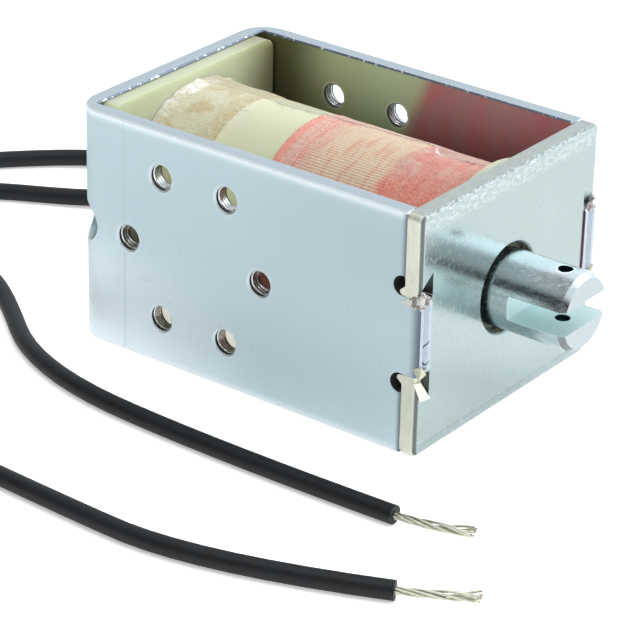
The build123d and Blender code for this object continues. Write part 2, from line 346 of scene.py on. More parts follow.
# %% Finish the leads' jackets
jacket = Finish("black_lead_jacket", Metallic=0.0, Specular_IOR_Level=0.3)
dust = jacket.noise(9.0, 3.0)
grain = jacket.noise(0.35, 2.0)
jacket_material = jacket.surface(
    colour=jacket.mix(dust, (0.004, 0.005, 0.006), (0.012, 0.0145, 0.017)),
    roughness=0.42 + 0.2 * dust + 0.1 * grain,
    bump=grain + jacket.noise(2.2, 1.0),
    depth=0.04,
)
for lead in (outer_lead, inner_lead):
    lead.data.materials.append(jacket_material)
print("jackets finished in", jacket_material.name)

# %% [markdown]
# ## Geometry trees
#
# Threads, strands and fibres repeat. Copying them one by one in a loop would work, but a geometry
# tree says the rule once and keeps its sizes as named inputs, which can be tried out in the
# modifier's panel. The finished geometry is turned into a plain mesh, and the tree is taken off.

# %% Run a geometry tree and keep its mesh
class Pattern(Graph):
    """A geometry tree with named sizes."""

    def __init__(self, name, material, **sizes):
        super().__init__(bpy.data.node_groups.new(name, "GeometryNodeTree"))
        self.material, self.sizes, self.sockets = material, sizes, {}
        for way in ("INPUT", "OUTPUT"):
            self.tree.interface.new_socket("Geometry", in_out=way, socket_type="NodeSocketGeometry")
        self.source = self.tree.nodes.new("NodeGroupInput")
        for label, value in sizes.items():
            kind = "NodeSocketInt" if isinstance(value, int) else "NodeSocketFloat"
            item = self.tree.interface.new_socket(label, in_out="INPUT", socket_type=kind)
            self.sockets[label] = item.identifier
        self.given = self["Geometry"]

    def __getitem__(self, label):
        return Wire(self, self.source.outputs[label])

    def tube(self, line, sides, radius):
        """Gives a line a round section."""
        section = self.add(
            "GeometryNodeCurvePrimitiveCircle", (), {"Resolution": sides, "Radius": radius}
        )
        return self.add("GeometryNodeCurveToMesh", (), {
            "Curve": line, "Profile Curve": section, "Fill Caps": True,
        })

    def make(self, result, name, start=None):
        """Runs the tree on a start mesh and returns a plain mesh object."""
        solid = self.add("GeometryNodeRealizeInstances", (), {"Geometry": result})
        coated = self.add(
            "GeometryNodeSetMaterial", (), {"Geometry": solid, "Material": self.material}
        )
        sink = self.tree.nodes.new("NodeGroupOutput")
        self.tree.links.new(coated.socket, sink.inputs["Geometry"])
        carrier = stand(name, start or bpy.data.meshes.new(name))
        modifier = carrier.modifiers.new(name, "NODES")
        modifier.node_group = self.tree
        for label, value in self.sizes.items():
            modifier[self.sockets[label]] = value
        depsgraph = bpy.context.evaluated_depsgraph_get()
        mesh = bpy.data.meshes.new_from_object(carrier.evaluated_get(depsgraph))
        carrier.modifiers.clear()
        carrier.data = mesh
        if self.material.name not in [m.name for m in mesh.materials if m]:
            mesh.materials.append(self.material)
        print("made", name, "with", len(mesh.polygons), "faces")
        return carrier


print("patterns ready")

# %% [markdown]
# ## Bare strands
#
# Seven tinned strands stand out of each lead. They keep the twist that they had in the jacket, lean
# a little to one side and open towards the cut, where the copper shows. One line is copied seven
# times; each copy is turned round the bundle and spread by its own number, and then gets a round
# section. The tree notes how far along each point is, and the finish reads that for the copper.

# %% Finish the strands
tinned = Finish("tinned_strand", Metallic=1.0)
cut = tinned.add("ShaderNodeAttribute", {"attribute_name": "along"}, output="Fac")
cut = cut.ramp(0.985, 0.998)
dull = tinned.noise(0.8, 3.0)
tinned_material = tinned.surface(
    colour=tinned.mix(
        cut, tinned.mix(dull, (0.38, 0.39, 0.30), (0.86, 0.87, 0.72)), (0.24, 0.10, 0.07)
    ),
    roughness=0.22 + 0.25 * dull,
    bump=tinned.noise(0.12, 2.0),
    depth=0.02,
)
print("strands finished in", tinned_material.name)

# %% Twist the strands
def twist_strands(name, route, length, turns, spread, swirl):
    """A bundle out of the end of a lead, opening towards the cut."""
    tree = Pattern(
        name, tinned_material, Strands=7, Length=length * mm, Gauge=0.19 * mm, Ring=0.45 * mm,
        Turns=turns, Spread=spread, Swirl=swirl,
    )
    line = tree.add("GeometryNodeCurvePrimitiveLine", (), {"End": (0, 0, 1)})
    line = tree.add("GeometryNodeResampleCurve", (), {"Curve": line, "Count": 28})
    copies = tree.add(
        "GeometryNodeDuplicateElements", {"domain": "SPLINE"},
        {"Geometry": line, "Amount": tree["Strands"]},
    )
    number = Wire(tree, copies.socket.node.outputs["Duplicate Index"])
    along = tree.add("GeometryNodeSplineParameter")
    own, own_too = (
        tree.add(
            "FunctionNodeRandomValue", {"data_type": "FLOAT"},
            {2: lowest, 3: 1.0, 7: number, 8: seed}, output=1,
        )
        for lowest, seed in ((-1.0, 7), (0.0, 31))
    )
    in_ring = number.math("GREATER_THAN", 0.5)
    angle = number * (tau / 6) + along * tree["Turns"] * tau + own * along * 0.5
    open_up = 1 + tree["Spread"] * (0.4 + own_too) * along ** 2.2
    reach = tree["Ring"] * in_ring * open_up
    sway = tree["Swirl"] * tree["Ring"] * along ** 2.0
    cut_at = 1 - 0.09 * own_too * in_ring
    shaped = tree.add("GeometryNodeSetPosition", (), {
        "Geometry": copies,
        "Position": tree.vector(
            reach * angle.math("COSINE") + sway, reach * angle.math("SINE"),
            along * cut_at * tree["Length"],
        ),
    })
    noted = tree.add(
        "GeometryNodeStoreNamedAttribute", {"data_type": "FLOAT", "domain": "POINT"},
        {"Geometry": shaped, "Name": "along", "Value": along},
    )
    bundle = tree.make(tree.tube(noted, 9, tree["Gauge"]), name)
    end, before = Vector(route[-1]) * mm, Vector(route[-2]) * mm
    turn = (end - before).to_track_quat("Z", "Y").to_matrix().to_4x4()
    bundle.data.transform(Matrix.Translation(end) @ turn)
    for face in bundle.data.polygons:
        face.use_smooth = True
    return bundle


print("ready to twist")

# %% Fan both bundles out
strand_length = 12.0
outer_strands = twist_strands("outer_lead_strand_twist", outer_route, strand_length, 0.7, 1.2, 3.4)
inner_strands = twist_strands("inner_lead_strand_twist", inner_route, strand_length, 0.8, 1.1, 6.2)

# %% Hang the leads on the frame in place of the imported ones
for lead, bundle, node, height, length in (
    (outer_lead, outer_strands, "lead_outer", upper, 0.2955),
    (inner_lead, inner_strands, "lead_inner", lower, 0.2329),
):
    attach(lead, "frame")
    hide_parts(node)
    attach(bundle, "frame")
    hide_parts(node + "_strands")
print("leads laid")

# %% [markdown]
# ## Light and table
#
# A catalogue picture is taken in a tent of white cloth on a white table. Bright zinc shows the
# tent more than a colour of its own, so the tent matters as much as the finishes. Three soft
# lights hang in it. Its cloth is the world, which could be a picture of a real tent; a few ramps
# need no file and can be set band by band. It glows a little at the front horizon, is dark just
# above that, brighter overhead and brightest behind the part. The right-hand side, which the
# front plate looks at, glows more. The dark part draws the plunger's dark stripe.

# %% Hang the lights
def area_light(name, place, target, width, height, power, colour=(1, 1, 1)):
    lamp = bpy.data.lights.new(name, "AREA")
    lamp.shape, lamp.size, lamp.size_y = "RECTANGLE", width, height
    lamp.energy, lamp.color = power, colour
    thing = stand(name, lamp)
    thing.location = place
    thing.rotation_euler = (Vector(target) - Vector(place)).to_track_quat("-Z", "Y").to_euler()


area_light("overhead_softbox", (0.0, -0.15, 0.95), (0, 0, 0.02), 0.5, 0.5, 3.1)
area_light("right_softbox", (0.9, 0.1, 0.5), (0, 0, 0.03), 0.4, 0.5, 0.6, (1, 0.99, 0.97))
area_light("front_card", (0.75, -1.1, 0.3), (0, 0, 0.03), 0.5, 0.25, 0.8)
print("hung", len(bpy.data.lights), "lights")

# %% Lay the table
far = 3  # metres from the middle of the table to its edges
table_mesh = bpy.data.meshes.new("white_table")
table_mesh.from_pydata(
    [(-far, -far, 0), (far, -far, 0), (far, far, 0), (-far, far, 0)], [], [(0, 1, 2, 3)]
)
table = stand("white_table", table_mesh)
white = Finish(
    "white_table_finish", Roughness=0.9, Specular_IOR_Level=0.1, Emission_Strength=0.44,
    Emission_Color=(1, 1, 1, 1),
)
table_mesh.materials.append(white.surface(
    colour=white.mix(white.noise(40.0, 1.0), (0.93, 0.93, 0.93), (0.95, 0.95, 0.95))
))
print("table laid")

# %% Close the tent
world = bpy.data.worlds.new("light_tent")
bpy.context.scene.world = world
world.use_nodes = True
tent = Graph(world.node_tree)
outward = tent.add("ShaderNodeTexCoord", output="Generated")
rise, back = tent.part(outward, "Z"), tent.part(outward, "Y")
right_hand = tent.part(outward, "X").ramp(0.1, 0.45)
climb = rise.math("ARCTAN2", -1 * back)  # from the front horizon, overhead and down to the rear
glow = 0.06 + 0.2 * (1 - climb.ramp(0.15, 0.35)) + 0.36 * climb.ramp(0.78, 0.92)
glow = glow + 0.9 * climb.ramp(1.8, 2.15)
far_side = 0.6 * (1 - climb.ramp(0.15, 0.35)) + 0.6 * climb.ramp(0.78, 0.92)
glow = glow + right_hand * (far_side + 1.4 * climb.ramp(1.75, 2.0))
world.node_tree.links.new(glow.socket, world.node_tree.nodes["Background"].inputs["Strength"])
world.node_tree.nodes["Background"].inputs["Color"].default_value = (0.93, 0.96, 1.0, 1)
bpy.context.scene.view_settings.view_transform = "Standard"
print("tent lit")

# %% [markdown]
# ## Zinc
#
# The channel and the plate are cold-rolled strip with bright zinc on it: a pale blue-green metal
# with a soft satin shine. The rolled faces carry faint long streaks, and the edges, where the
# strip was sheared, are rougher and a little bluer. One material could serve both, but their
# marks differ. So one function gives the finish that both pieces share, and each piece then gets
# coats for its own edges and marks.

# %% Roll the strip
def zinc(name, tint, satin, streaks):
    """Rolled zinc-plated strip; what its edges and marks look like is added afterwards."""
    finish = Finish(name, IOR=1.5)
    cloud = finish.noise(14.0, 3.0)
    roll_marks = finish.noise(1.1, 3.0, stretch=streaks)
    fine = finish.noise(0.22, 2.0)
    pale = tuple(min(1.0, c * 1.12) for c in tint)
    colour = finish.mix(0.6 * cloud + 0.4 * roll_marks, tint, pale)
    rough = satin + 0.12 * (cloud - 0.5) + 0.1 * (roll_marks - 0.5)
    return finish, colour, rough, 0.4 * roll_marks + 0.35 * fine


print("strip rolled")

# %% [markdown]
# ## The channel
#
# The channel is one strip bent twice. Its outer faces are satin, with handling marks, a painted
# highlight round each tapped hole, painted shade over the upper front, painted light low at the
# rear and a painted highlight where they roll over at the top and bottom. Its inner faces are
# smoother and duller, and carry a painted reflection of the coil that they face, with painted
# shade towards the rear. The sheared edges carry a burr, painted as a bright highlight outside,
# and a dark, chipped one inside.
# All of this could be painted on an image, but masks made from the piece's own coordinates stay
# sharp at any distance and need no unwrapping.

# %% Measure the frame
rear_face, front_face = -41.0, 27.0  # outer faces of the rear wall and of the front plate
half_width, half_height = 23.75, 20.0  # of the frame
wall = 2.8  # thickness of its strip
inner_side, rear_inner = half_width - wall, rear_face + wall
print("frame", front_face - rear_face, "x", 2 * half_width, "x", 2 * half_height, "mm")

# %% Tell the channel's faces apart
tap_rear, tap_front, tap_mid = -22.9, -9.9, -16.4
tap_places = [(x, z) for x in (tap_rear, tap_front) for z in (7.8, 32.2)]
tap_places += [(tap_mid - 13.2, 20.0), (tap_mid + 13.2, 20.0)]

channel, colour, rough, grain = zinc("bright_zinc_channel", (0.51, 0.62, 0.66), 0.52, (30, 30, 1))
x, y, z = (channel.along(axis) for axis in "XYZ")
level = abs(z - axis_height)
outside = abs(y).ramp(inner_side + 0.55, inner_side + 1.55)
outside = outside.either((-1 * x).ramp(0.6 - rear_inner, 1.6 - rear_inner))
sheared = abs(channel.facing("Z")).ramp(0.9, 0.97)
sheared = sheared * level.ramp(half_height - 0.1, half_height - 0.05)
burr_and_highlight = level.ramp(half_height - 0.3, half_height - 0.26) * (1 - sheared)
chips = channel.noise(1.1, 3.0, shift=5.0, rough=0.7).ramp(0.56, 0.62)
torn = channel.noise(0.5, 3.0)
print("tapped holes at", tap_places)

# %% Mark the channel's rolled faces
# Painted reflection of the coil on the inner faces, with painted shade towards the rear
inner_reflection_and_shade = channel.mix(x.ramp(-33, -22), (0.22, 0.225, 0.15), (0.58, 0.66, 0.54))
painted_coil_reflection = channel.noise(5.0, 2.0, stretch=(1, 1, 2)).ramp(0.4, 0.65)
painted_coil_reflection = channel.mix(painted_coil_reflection, (0.46, 0.305, 0.35), (0.54, 0.26, 0.30))
inner_reflection_and_shade = channel.mix((x - 0.37 * z).ramp(-20.4, -17.2), inner_reflection_and_shade, painted_coil_reflection)
colour = channel.mix(outside, inner_reflection_and_shade, colour)

# Handling marks, painted shade over the upper front, painted light low at the rear, a painted
# highlight where the faces roll over at the top and bottom, and the line that the bending tool left
scratch = channel.noise(0.16, 2.0, stretch=(40, 40, 1)).ramp(0.68, 0.75)
scratch = scratch * channel.noise(6.0).ramp(0.5, 0.65) * outside
smudge = channel.noise(3.0, 4.0, shift=7.0, rough=0.7).ramp(0.58, 0.75) * outside
painted_upper_shade = outside * z.ramp(10, 36) * (0.28 + 0.2 * x.ramp(-20, 15))
painted_low_rear_light = outside * (1 - x.ramp(-36, 0)) * (1 - z.ramp(4, 24))
painted_roll_highlight = outside * level.ramp(half_height - 2, half_height - 0.2) ** 1.6
die_line = x.near(-30.4, 0.05, 0.3) * outside
colour = channel.coat(
    colour,
    (painted_upper_shade, (0.33, 0.40, 0.43)),
    (0.9 * painted_low_rear_light, (0.86, 0.95, 1.0)),
    (0.7 * painted_roll_highlight, (0.88, 0.95, 0.96)),
    (0.4 * smudge, (0.46, 0.53, 0.56)),
    (0.25 * die_line, (0.40, 0.47, 0.50)),
)
print("faces marked")

# %% Mark the channel's holes and joint
ring = reduce(Wire.least, (channel.from_line(*place) for place in tap_places))
# Painted highlight on a ring round each tapped hole
painted_ring_highlight = ring.ramp(2.05, 2.12) * (1 - ring.ramp(2.38, 2.6))
relief_x, relief_rise = 23.7, 8.05  # of the relief holes: along, and up or down from the axis
relief = channel.from_line(relief_x, axis_height + relief_rise)
relief = relief.least(channel.from_line(relief_x, axis_height - relief_rise))
# Painted shade inside the relief holes and the tapped holes
painted_hole_shade = (1 - relief.ramp(1.62, 1.66)).either(1 - ring.ramp(2.09, 2.12))

# Shade where the walls roll over, behind the plate and at the tab
by_tab = 1 - level.ramp(6.3, 6.6)
shade = outside * (by_tab * x.ramp(25.0, 27.2) + (1 - by_tab) * x.ramp(23.0, 24.2) ** 1.5)
colour = channel.coat(
    colour,
    (0.55 * painted_ring_highlight, (0.82, 0.88, 0.88)),
    (0.97 * painted_hole_shade, (0.03, 0.032, 0.03)),
    (0.95 * shade, (0.13, 0.17, 0.21)),
)
print("holes and joint marked")

# %% [markdown]
# Staking spreads the end of each tab and tears it, so two cracks run across it. A crack is drawn
# as a few straight lines; the mask is 1 within half a line's width of any of them.

# %% Crack the tabs' ends
def scored(across, up, start, end, width):
    """1 on a thin straight crack from start to end, 0 off it."""
    run, rise = end[0] - start[0], end[1] - start[1]
    share = ((across - start[0]) * run + (up - start[1]) * rise) / (run * run + rise * rise)
    share = share.either(0.0).least(1.0)
    off, over = across - (share * run + start[0]), up - (share * rise + start[1])
    return 1 - ((off * off + over * over) ** 0.5).ramp(0.5 * width, 1.4 * width)


tab_end = channel.facing("X").ramp(0.4, 0.6) * x.ramp(26.0, 26.2)
across = y + 0.25 * (torn - 0.5)
short_crack = ((-22.8, 25.0), (-22.8, 23.6), (-22.6, 22.3))
long_crack = (
    (-21.4, 19.2), (-22.1, 18.5), (-22.6, 17.7), (-22.8, 16.7), (-22.0, 15.3), (-21.3, 15.8),
)
crack = reduce(Wire.either, (
    scored(across, z, start, end, 0.1)
    for bend in (short_crack, long_crack) for start, end in zip(bend, bend[1:])
))
print("cracked the tabs along", len(short_crack) + len(long_crack) - 2, "lines")

# %% Finish the channel
edge = channel.coat(
    channel.mix(torn, (0.36, 0.43, 0.475), (0.47, 0.54, 0.585)),
    (tab_end, channel.mix(torn, (0.37, 0.42, 0.475), (0.51, 0.565, 0.625))),
    (tab_end * crack, (0.03, 0.03, 0.04)),
    # painted highlight along the outer burr; the inner burr stays dark and chipped
    (burr_and_highlight, (0.78, 0.84, 0.88)),
    (burr_and_highlight * (1 - outside) * (1 - chips), (0.16, 0.20, 0.25)),
)
bare = sheared.either(tab_end)
dress("frame_channel", channel.surface(
    colour=channel.mix(bare.either(burr_and_highlight), colour, edge),
    roughness=rough - 0.14 * (1 - outside) + 0.12 * bare + 0.2 * burr_and_highlight * torn + 0.3 * painted_hole_shade,
    bump=grain + 0.5 * bare * torn + 1.5 * scratch + 1.5 * burr_and_highlight * torn + 1.5 * die_line,
    depth=0.012,
    metal=0.84 + 0.16 * (1 - outside) - 0.3 * bare - 0.65 * burr_and_highlight * outside - 0.5 * painted_hole_shade,
))

# %% [markdown]
# ## The front plate
#
# The plate was blanked, so its front edge is rolled over and its sides are sheared and ivory. It
# is much shinier than the channel and mirrors the plunger, so it needs a darker tint and little
# roughness. Its notches were struck with a chisel, which leaves slants of their own colours. The
# slant above each tab is painted pale against its shade, and the rolled sides and the notch walls
# carry painted shade. The marks could be pieces of their own, laid over the plate. They are masks,
# because they lie in the plate's own faces and need no new shape.

# %% Mark the plate's face
plate, colour, rough, grain = zinc("bright_zinc_plate", (0.33, 0.395, 0.39), 0.16, (1, 1, 14))
x, y, z = (plate.along(axis) for axis in "XYZ")
level, across = abs(z - axis_height), abs(y)
ahead, sideways, lean = plate.facing("X"), abs(plate.facing("Y")), plate.facing("Z")
shear_lines = plate.noise(0.35, 3.0, stretch=(1, 1, 8))
mottle = plate.noise(0.9, 4.0, rough=0.7)
worn = plate.noise(0.6, 4.0, stretch=(1, 2, 1), rough=0.7).ramp(0.42, 0.62)
worn = worn * z.near(38.0, 0.6, 1.8)
scuff = plate.noise(0.22, 2.0, stretch=(1, 9, 1)).ramp(0.6, 0.72) * level.ramp(16.5, 19.3)

# Darker along the bottom: a strip below a faint line
wavy_height = z + 0.25 * (plate.noise(3.0, 3.0) - 0.5)
bottom_strip = 1 - wavy_height.ramp(1.65, 1.75)
bottom_strip_line = wavy_height.near(1.75, 0.05, 0.3)
colour = plate.coat(
    colour,
    (0.5 * mottle.ramp(0.5, 0.75), (0.34, 0.40, 0.40)),
    (0.7 * scuff.either(0.35 * worn), (0.84, 0.89, 0.88)),
    (0.35 * bottom_strip, (0.30, 0.36, 0.37)),
    (0.45 * bottom_strip_line * mottle.ramp(0.3, 0.6), (0.20, 0.24, 0.24)),
)
print("plate's face marked")

# %% Mark the plate's edges and notches
# The blanked outline gets painted shade where it rolls over at the sides, and is rubbed bright
# along the top
rolled = ahead.ramp(0.2, 0.5) * (1 - ahead.ramp(0.9, 0.99))
side_roll_shade = rolled * across.ramp(half_width - 1.05, half_width - 0.75)
top_roll = rolled * level.ramp(half_height - 1, half_height - 0.7) * (1 - across.ramp(22.4, 23.0))
rubbed = plate.noise(0.3, 3.0, stretch=(1, 3, 1)).ramp(0.42, 0.55)
flank = 1 - ahead.ramp(0.3, 0.55)
top = flank * abs(lean).ramp(0.7, 0.9) * level.ramp(half_height - 1, half_height - 0.8)
top_scratch = plate.noise(0.2, 3.0, stretch=(1, 12, 1))
side = flank * sideways.ramp(0.25, 0.45) * across.ramp(21.6, 22.0)

# The struck notches: bright below each tab, painted pale above it against its shade, and painted
# shade down their walls
struck = across.ramp(20.3, 20.4) * (1 - level.ramp(12.5, 13.0)) * x.ramp(24.3, 24.4)
slant = struck * abs(lean).ramp(0.15, 0.3) * (1 - ahead.ramp(0.93, 0.98)) * (1 - side)
notch_shade = struck * sideways.ramp(0.8, 0.9) * (1 - across.ramp(23, 23.2))
colour = plate.coat(
    colour,
    (side_roll_shade, plate.mix(mottle, (0.09, 0.10, 0.09), (0.24, 0.26, 0.25))),
    (0.8 * top_roll, plate.mix(rubbed, (0.22, 0.25, 0.25), (0.42, 0.46, 0.46))),
    (top, plate.mix(top_scratch, (0.28, 0.33, 0.31), (0.50, 0.54, 0.50))),
    (side, plate.mix(shear_lines, (0.56, 0.58, 0.46), (0.80, 0.81, 0.70))),
    (slant * lean.ramp(0, 0.1), (0.88, 0.87, 0.76)),
    (slant * (1 - lean.ramp(-0.1, 0)), plate.mix(mottle, (0.40, 0.48, 0.46), (0.75, 0.86, 0.84))),
    (notch_shade, (0.12, 0.13, 0.13)),
)
print("plate's edges marked")

# %% Finish the front plate
dress("front_plate", plate.surface(
    colour=colour,
    roughness=rough + 0.3 * side + 0.2 * top + 0.4 * rolled + 0.14 * mottle.ramp(0.45, 0.7)
    + 0.2 * scuff + 0.2 * slant,
    bump=grain + side * shear_lines + top * top_scratch + 0.5 * rolled * mottle + 0.5 * scuff,
    depth=0.02,
    metal=0.95 - 0.45 * side - 0.5 * slant - 0.3 * top_roll * rubbed,
))

# %% [markdown]
# ## The plunger, the pole piece and the guide tube
#
# The plunger and the pole piece are turned from bar and plated. The plating is bright but uneven,
# so a fine bump breaks its reflections up. The sawn slot is duller and bluer, the pin hole is
# painted dark as shade, with a bright rim, and the nose's chamfer and the plunger's underside get
# painted shade. Each of these could get a material of its own, but the imported mesh is loose
# triangles, with no whole faces to pick, so masks tell them apart by place and direction. The brass
# tube is tinted near black as painted shade, so it shows only as a thin dark ring round the
# plunger.

# %% Mark the turned steel
turned = Finish("plated_turned_steel", Metallic=1.0)
skin = turned.noise(0.45, 4.0, stretch=(2, 1, 1), rough=0.65)
cloud = turned.noise(3.0, 3.0)
stain = turned.noise(0.8, 4.0, shift=3.0, rough=0.7)
x, off_middle = turned.along("X"), abs(turned.along("Z") - axis_height)
ahead, lean = turned.facing("X"), turned.facing("Z")
pin_inset = 3.9  # of the pin hole, from the plunger's nose
nose_end = front_face + 14
pin = turned.from_line(nose_end - pin_inset, 0.0, "Y")
pin_rim = pin.near(1.34, 0.08, 0.24) * off_middle.ramp(5.0, 5.4)
end_face = ahead.ramp(0.85, 0.95)
painted_underside_shade = (-1 * lean).ramp(-0.1, 0.5)
slot_faces = (1 - off_middle.ramp(2.0, 2.1)) * x.ramp(nose_end - 10.2, nose_end - 10.05)
slot_faces = slot_faces * (1 - end_face * x.ramp(nose_end - 1, nose_end))
painted_chamfer_shade = ahead.ramp(0.2, 0.35) * (1 - ahead.ramp(0.9, 0.97)) * x.ramp(nose_end - 2, nose_end - 1.5)
painted_chamfer_shade = painted_chamfer_shade * (1 - lean.ramp(0.3, 0.6))
steel = turned.coat(
    turned.mix(cloud, (0.52, 0.60, 0.63), (0.64, 0.71, 0.73)),
    (0.5 * stain.ramp(0.55, 0.72), (0.36, 0.38, 0.41)),
    (0.8 * pin_rim, (0.90, 0.95, 0.95)),
    (0.8 * end_face, (0.37, 0.405, 0.425)),
    # painted shade on the underside
    (0.75 * painted_underside_shade, (0.22, 0.32, 0.34)),
    (slot_faces, (0.64, 0.76, 0.76)),
    # painted shade on the chamfer below its top
    (0.8 * painted_chamfer_shade, (0.15, 0.15, 0.15)),
    # painted shade in the pin hole
    (1 - pin.ramp(1.2, 1.24), (0.10, 0.22, 0.25)),
)
print("turned steel marked")

# %% Finish the turned steel and the brass
turned_material = turned.surface(
    colour=steel,
    roughness=0.15 + 0.2 * skin.ramp(0.3, 0.8) + 0.3 * slot_faces,
    bump=skin + 0.3 * turned.noise(0.15, 2.0),
    depth=0.014,
)
dress("plunger", turned_material)
dress("pole_piece", turned_material)

# The brass is tinted near black: painted shade in the gap round the plunger
brass = Finish("drawn_brass", Metallic=1.0)
draw = brass.noise(0.4, 2.0, stretch=(20, 1, 1))
dress("guide_tube", brass.surface(
    colour=brass.mix(draw, (0.10, 0.09, 0.06), (0.22, 0.19, 0.12)), roughness=0.45 + 0.15 * draw,
    bump=draw, depth=0.01,
))

# %% [markdown]
# ## The bobbin
#
# The bobbin is moulded in natural nylon, a greenish cream that lets light in, so its edges glow.
# A paler tint alone would look painted, so subsurface scattering carries the light through. The
# colour changes only slowly, as the resin flowed.

# %% Finish the bobbin
nylon = Finish(
    "natural_nylon", Roughness=0.45, Subsurface_Weight=0.6, Subsurface_Scale=0.004,
    Subsurface_Radius=(1.0, 1.0, 0.6),
)
flow = nylon.noise(7.0, 2.0)
resin = nylon.mix(flow, (0.49, 0.53, 0.345), (0.57, 0.61, 0.43))
# The bobbin is painted darker towards the far wall: painted shade in that corner
dress("bobbin", nylon.surface(
    colour=nylon.mix(0.8 * nylon.along("Y").ramp(8, 21), resin, (0.25, 0.24, 0.12)),
    roughness=0.4 + 0.15 * flow, bump=nylon.noise(0.8, 3.0), depth=0.02,
))

# %% [markdown]
# ## The tapes
#
# Cloth tape isn't a smooth sleeve. It puffs up at its rear edge, sinks over the joint and carries
# ribs where its threads cross. A sleeve with a displacement texture could show that, but the lap
# of the last turn and the ribs follow plain rules. So each wrap is a tube whose outer skin is
# moved in and out, row by row, by a rule of its own, and closed on the inside so that it stays a
# solid.

# %% Wrap a tube round the coil
def wrap(name, node, start, end, inner, rows, columns, skin, material):
    """A closed tube: skin gives the outer radius for a place along and round the coil."""
    places = [start + (end - start) * row / (rows - 1) for row in range(rows)]
    rings = [(start, None)] + [(x, skin) for x in places] + [(end, None)]
    points, faces = [], []
    for x, rule in rings:
        for column in range(columns):
            angle = tau * column / columns
            radius = rule(x, angle) if rule else inner
            points.append(Vector((x, radius * sin(angle), axis_height + radius * cos(angle))) * mm)
    for ring in range(len(rings)):
        following = (ring + 1) % len(rings)
        for column in range(columns):
            side = (column + 1) % columns
            faces.append((
                ring * columns + column, ring * columns + side,
                following * columns + side, following * columns + column,
            ))
    mesh = bpy.data.meshes.new(name)
    mesh.from_pydata(points, [], faces)
    mesh.update()
    mesh.materials.append(material)
    for face in mesh.polygons:
        face.use_smooth = True
    mesh.set_sharp_from_angle(angle=radians(50))
    tube = stand(name, mesh)
    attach(tube, "frame")
    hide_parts(node)
    print("wrapped", name, "with", len(faces), "faces")
    return tube


print("ready to wrap")

# %% [markdown]
# The skins are rules for a radius: a base, plus soft lumps, minus the falls at joints. The tape's
# last turn ends along a line near the top, the lap. Beyond it the coil is one turn thinner, and
# the cut edge stands up as a small ridge.

# %% Shape the lap
rear_start, band_start, weave_start, weave_end = -35.5, -23.0, -11.2, 22.5
cloth_radius, band_radius, weave_radius = 17.8, 17.66, 17.76  # about where the skins lie
coil_radius = 17.7  # of the wrapped coil, for what runs over more than one band
ribs = 203
lap_top, lap_slope, lap_jog = 2.0, 0.085, 3.2  # its place, its slant and its jump at the front


def rise_between(value, low, high):
    """0 below low, 1 above high, and straight between."""
    return min(1, max(0, (value - low) / (high - low)))


def lap_place(x):
    """Where the outermost turn of the tape ends: millimetres round the coil from its top."""
    return lap_top + lap_slope * (x + 22) - lap_jog * rise_between(x, 9, 12)


def lap_drop(x, angle):
    """The tape is one turn thinner beyond the lap, down to the underside."""
    round_it = coil_radius * (angle if angle < pi else angle - tau)
    past = round_it - lap_place(x) - 0.3 * noise.noise(Vector((x / 2.5, 4, 0)))
    ridge = 0.08 * max(0, 1 - abs(past) / 0.45)
    return 0.2 * rise_between(past, 0, 0.35) * (1 - rise_between(round_it, 38, 46)) - ridge


print("bands start at", rear_start, band_start, weave_start, "and end at", weave_end)

# %% Shape the three skins
def lumps(x, angle, radius, grain, seed):
    """Noise from -1 to 1 on the coil's surface, with lumps about one grain across."""
    y, z = radius * sin(angle), radius * cos(angle)
    return noise.noise(Vector((x / grain + seed, y / grain, z / grain)))


def rear_skin(x, angle):
    puff = 0.35 * max(0, 1 - (x - rear_start) / 2.2) ** 2
    puff = puff * (1 + lumps(x, angle, cloth_radius, 1.6, 3))
    fall = 0.17 * max(0, 1 - (band_start - x) / 1.6)
    coarse = 0.10 * lumps(x, angle, cloth_radius, 2.6, 0)
    fine = 0.06 * lumps(x, angle, cloth_radius, 0.7, 8)
    return cloth_radius + 0.04 + puff - fall + coarse + fine - 0.6 * lap_drop(x, angle)


def band_skin(x, angle):
    return band_radius + 0.05 * lumps(x, angle, 17.6, 6.0, 20) - 0.6 * lap_drop(x, angle)


def weave_skin(x, angle):
    ribbed = max(0, 1 - max(0, -5.6 - x) / 3.0) * max(0, 1 - max(0, x - 9.0) / 1.2)
    rib = 0.045 * ribbed * cos(ribs * angle)
    edge = 0.06 * max(0, 1 - (x - weave_start) / 1.4)
    fuzz = 0.09 * lumps(x, angle, coil_radius, 1.1, 5) * (1 - 0.7 * ribbed)
    waves = 0.08 * lumps(x, angle, coil_radius, 5.0, 12)
    return weave_radius + 0.04 + rib + edge + fuzz + waves - lap_drop(x, angle)


tops = [round(skin(x, 0), 2) for skin, x in ((rear_skin, -29), (band_skin, -17), (weave_skin, 6))]
print("radii at the top of the coil:", tops)

# %% [markdown]
# The rear tape is cream cloth with brown stains and a frayed white edge. The band is a smooth pale
# film. The front tape is glass cloth whose red dye has run: coral at both ends, and between them
# cream ribs with dye in some of the grooves. Their patterns follow coordinates that go along the
# coil and round it, so that streaks run the way the tape was wound.

# %% Show the lap
def show_lap(finish, at, colour, shade, frayed):
    """Shades the far side of the lap, and draws its frayed line."""
    x = finish.along("X")
    round_it = finish.part(at, "Y")
    past = round_it - (lap_top + lap_slope * (x + 22) - lap_jog * x.ramp(9, 12))
    past = past + 0.7 * (finish.noise(2.5, 2.0, at=at, shift=6.0) - 0.5)
    colour = finish.mix(0.65 * past.ramp(0.0, 0.5), colour, shade)
    return finish.mix(0.9 * past.near(0.0, 0.15, 0.45), colour, frayed)


print("lap at", round(lap_place(-30), 2), "mm past the top, at the rear")

